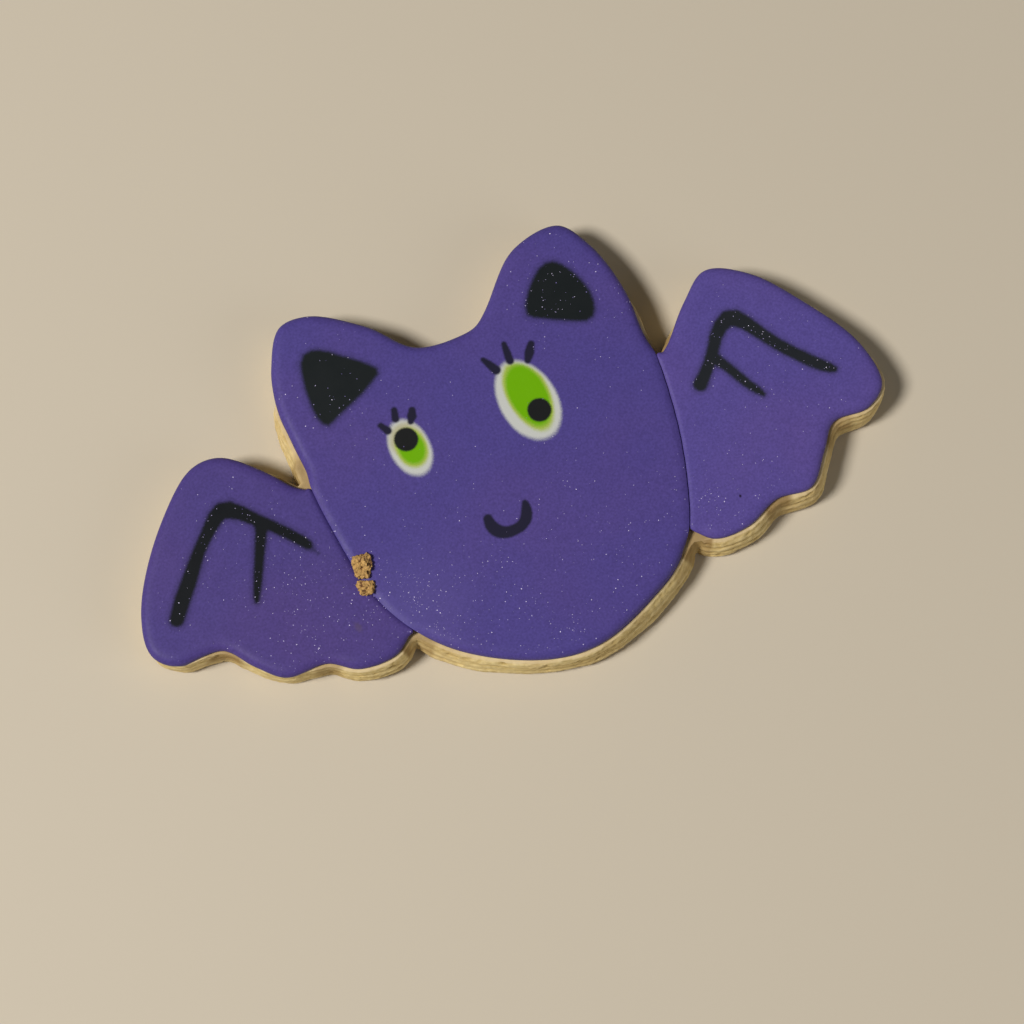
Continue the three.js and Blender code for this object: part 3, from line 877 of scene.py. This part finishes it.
dust_form = bmesh.new()
for piece in (head, left_wing, right_wing):
    dust_form.from_mesh(piece.data)
dust_mesh = bpy.data.meshes.new("edible_glitter")
dust_form.to_mesh(dust_mesh)
dust_form.free()
spots = np.array([v.co[:] for v in dust_mesh.vertices]) / MM
dusting = EVEN_DUSTING + soft_patches(spots, THICKER)
dusting *= np.clip(1 + DRIFT_CHANGE * rough_at(spots * [1, 1, 0], *DRIFTS), *DRIFT_LIMITS)
bones = {"icing_wing_left": (LEFT_BONE, LEFT_FINGER), "icing_wing_right": (RIGHT_BONE, RIGHT_FINGER)}
for node, lines in bones.items():
    low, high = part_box(node)
    middle = np.array((low + high)[:2]) / (2 * MM)
    stations = np.array([station[:2] for line in lines for station in line]) + middle
    dusting += BONE_DUSTING * np.exp(-(distance_to(spots[:, :2], stations) / BONE_REACH) ** 2)
keep_value(dust_mesh, "dusting", np.clip(dusting, 0, 1))
dust = new_piece("edible_glitter", dust_mesh)


def flake_tree():
    """Scatters flat flakes over the upper faces of a mesh, by its dusting."""
    tree = bpy.data.node_groups.new("scattered flakes", "GeometryNodeTree")
    for title, kind in (("Surface", "Geometry"), ("Density", "Float"), ("Radius", "Float"),
                        ("Thickness", "Float"), ("Seed", "Int"), ("Material", "Material")):
        tree.interface.new_socket(title, in_out="INPUT", socket_type="NodeSocket" + kind)
    tree.interface.new_socket("Flakes", in_out="OUTPUT", socket_type="NodeSocketGeometry")
    given = tree.nodes.new("NodeGroupInput").outputs
    dusting = add_node(tree, "GeometryNodeInputNamedAttribute", [("Name", "dusting")], data_type="FLOAT")
    up = part_of(tree, add_node(tree, "GeometryNodeInputNormal").outputs[0], 2)
    on_top = add_node(tree, "FunctionNodeCompare", [(0, up), (1, UPWARD)], operation="GREATER_THAN")
    density = maths(tree, "MULTIPLY", dusting.outputs[0], given["Density"])
    spread = add_node(tree, "GeometryNodeDistributePointsOnFaces", [
        ("Mesh", given["Surface"]), ("Selection", on_top.outputs[0]), ("Density", density),
        ("Seed", given["Seed"])])
    flake = add_node(tree, "GeometryNodeMeshCylinder", [
        ("Vertices", 6), ("Radius", given["Radius"]), ("Depth", given["Thickness"])])
    turn = add_node(tree, "FunctionNodeRandomValue", [
        (0, (-FLAKE_TILT, -FLAKE_TILT, 0.0)), (1, (FLAKE_TILT, FLAKE_TILT, FLAKE_SPIN)),
        ("Seed", 3)], data_type="FLOAT_VECTOR")
    size, chance = (add_node(tree, "FunctionNodeRandomValue", [
        (2, least), (3, most), ("Seed", seed)], data_type="FLOAT").outputs[1]
        for least, most, seed in ((*FLAKE_SIZES, 4), (0.0, 1.0, 5)))
    laid = add_node(tree, "GeometryNodeInstanceOnPoints", [
        ("Points", spread.outputs["Points"]), ("Instance", flake.outputs["Mesh"]),
        ("Rotation", turn.outputs[0]), ("Scale", size)])
    glint = maths(tree, "POWER", chance, GLINT_POWER)
    marked = add_node(tree, "GeometryNodeStoreNamedAttribute", [
        ("Geometry", laid.outputs[0]), ("Name", "glint"), ("Value", glint),
    ], data_type="FLOAT", domain="INSTANCE")
    loose = add_node(tree, "GeometryNodeRealizeInstances", [("Geometry", marked.outputs[0])])
    finished = add_node(tree, "GeometryNodeSetMaterial", [
        ("Geometry", loose.outputs[0]), ("Material", given["Material"])])
    add_node(tree, "NodeGroupOutput", [("Flakes", finished.outputs[0])])
    return tree


glitter, tree, shader = material_tree("edible glitter")
# Painted glints: each flake's colour runs from dull lilac to near white by its random glint
shade = blend_colours(tree, kept_value(tree, "glint"), FLAKE_DULL, FLAKE_BRIGHT)
feed(tree, shader, [("Base Color", shade), ("Roughness", 0.35)])

scatter = dust.modifiers.new("Scattered flakes", "NODES")
scatter.node_group = flake_tree()
sockets = {item.name: item.identifier for item in scatter.node_group.interface.items_tree}
for title, value in (("Density", FLAKES_PER_SQUARE_METRE), ("Radius", FLAKE_RADIUS),
                     ("Thickness", FLAKE_THICKNESS), ("Seed", 7), ("Material", glitter)):
    scatter[sockets[title]] = value
graph = bpy.context.evaluated_depsgraph_get()
flakes = bpy.data.meshes.new_from_object(dust.evaluated_get(graph), depsgraph=graph)
dust.modifiers.clear()
dust.data = flakes
bpy.data.meshes.remove(dust_mesh)
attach(dust, "root")

# The loose crumbs
# Two crumbs broken off the browned side of the dough, lying where the left wing meets the head. They
# are porous and rough all over, with painted shade in their hollows.
CRUMB_LIGHT = (0.49, 0.295, 0.095, 1)
CRUMB_HOLLOW_SHADE = (0.12, 0.045, 0.014, 1)
# Each crumb's piece, its middle and half its sizes in millimetres, its turn in radians, and its seed
CRUMBS = [("crumb_large", (-29.85, -10.06, 9.65), (1.6, 2.1, 0.95), -0.30, 41),
          ("crumb_small", (-30.3, -13.8, 9.4), (1.45, 1.25, 0.8), -0.1, 43)]
SQUARENESS = 3.2  # 2 is a ball, and more is squarer
# A crumb's relief: heights, and distances over which it changes, as shares of half the crumb's size
CRUMB_BODY = 0.96
LUMP_HEIGHT = 0.36
LUMP_DISTANCE = 0.62
PORE_SINK = 0.20
PORE_DISTANCE = 0.42
PORE_START = 0.2  # the unevenness at which a pore starts, and from there to the deepest
PORE_MOST = 0.4
PORE_GAIN = 2.5  # makes the deepest 1
PORE_DARKENS = 1.6
GRIT_HEIGHT = 0.07
GRIT_DISTANCE = 0.10
CRUMB_MOTTLE = ((2.2, 4, 0.7), (0.35, 0.65, 0.62, 1.35))

toasted_crumb, tree, shader = material_tree("toasted crumb")
shade = varied(tree, in_millimetres(tree), *CRUMB_MOTTLE)
# Painted shade in the crumb's pores
baked = blend_colours(tree, kept_value(tree, "hollow_shade"), CRUMB_LIGHT, CRUMB_HOLLOW_SHADE)
feed(tree, shader, [("Base Color", blend_colours(tree, 1.0, baked, shade, "MULTIPLY")), ("Roughness", 0.8)])
for name, centre, half_sizes, turned, seed in CRUMBS:
    form = bmesh.new()
    bmesh.ops.create_icosphere(form, subdivisions=6, radius=1.0)
    crumb_mesh = bpy.data.meshes.new(name)
    form.to_mesh(crumb_mesh)
    form.free()
    ball = np.array([v.co[:] for v in crumb_mesh.vertices])
    squared = ball / (np.abs(ball) ** SQUARENESS).sum(1)[:, None] ** (1 / SQUARENESS)
    lumps = rough_at(ball, LUMP_DISTANCE, seed, 3)
    pores = np.clip(rough_at(ball, PORE_DISTANCE, seed + 1) - PORE_START, 0, PORE_MOST) * PORE_GAIN
    grit = rough_at(ball, GRIT_DISTANCE, seed + 2)
    reach = CRUMB_BODY + LUMP_HEIGHT * lumps - PORE_SINK * pores + GRIT_HEIGHT * grit
    body = squared * reach[:, None] * half_sizes
    spin = np.array(Matrix.Rotation(turned, 3, "Z"))
    crumb_mesh.vertices.foreach_set("co", ((body @ spin.T + centre) * MM).astype(np.float32).ravel())
    crumb_mesh.shade_smooth()
    keep_value(crumb_mesh, "hollow_shade", np.clip(pores * PORE_DARKENS, 0, 1))
    crumb_mesh.materials.append(toasted_crumb)
    crumb = new_piece(name, crumb_mesh)
    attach(crumb, "root")

# The floor, the light and the camera
# A plain pale table top under soft studio light from the left, seen nearly from above as in the
# photograph.
FLOOR_COLOUR = (0.60, 0.54, 0.43, 1)
# Each light: its direction from the cookie, distance and size in metres, power in watts, and colour
LIGHTS = [("key_light", (-0.70, 0.03, 1.0), 1.6, 0.42, 24.4, (1.0, 0.96, 0.92)),
          ("fill_light", (0.7, -0.7, 0.45), 1.3, 0.9, 2.8, (1.0, 0.97, 0.95))]
ROOM_COLOUR = (1.0, 0.96, 0.92, 1)
ROOM_LIGHT = 0.075
CAMERA_PLACE = Vector((-31.33, -93.18, 426.89)) * MM
CAMERA_AIM = Vector((-1.04, -7.64, 0)) * MM

floor_form = bmesh.new()
bmesh.ops.create_grid(floor_form, x_segments=1, y_segments=1, size=3.0)
floor_mesh = bpy.data.meshes.new("floor")
floor_form.to_mesh(floor_mesh)
floor_form.free()
floor = new_piece("floor", floor_mesh)
floor_material, tree, shader = material_tree("pale floor")
feed(tree, shader, [("Base Color", FLOOR_COLOUR), ("Roughness", 0.7)])
floor.data.materials.append(floor_material)
for name, direction, distance, size, power, colour in LIGHTS:
    lamp = bpy.data.lights.new(name, "AREA")
    lamp.shape = "DISK"
    lamp.size = size
    lamp.energy = power
    lamp.color = colour
    holder = bpy.data.objects.new(name, lamp)
    bpy.context.scene.collection.objects.link(holder)
    place = Vector(direction).normalized() * distance
    holder.matrix_world = Matrix.Translation(place) @ place.to_track_quat("Z", "Y").to_matrix().to_4x4()
world = bpy.data.worlds.new("studio")
world.use_nodes = True
background = world.node_tree.nodes["Background"]
feed(world.node_tree, background, [("Color", ROOM_COLOUR), ("Strength", ROOM_LIGHT)])
bpy.context.scene.world = world
bpy.context.scene.view_settings.view_transform = "Standard"

lens = bpy.data.cameras.new("camera")
lens.lens = 85
lens.sensor_width = 36
lens.clip_start = 0.01
camera = bpy.data.objects.new("camera", lens)
bpy.context.scene.collection.objects.link(camera)
camera.location = CAMERA_PLACE
camera.rotation_mode = "QUATERNION"
camera.rotation_quaternion = (CAMERA_AIM - CAMERA_PLACE).to_track_quat("-Z", "Y")
bpy.context.scene.camera = camera
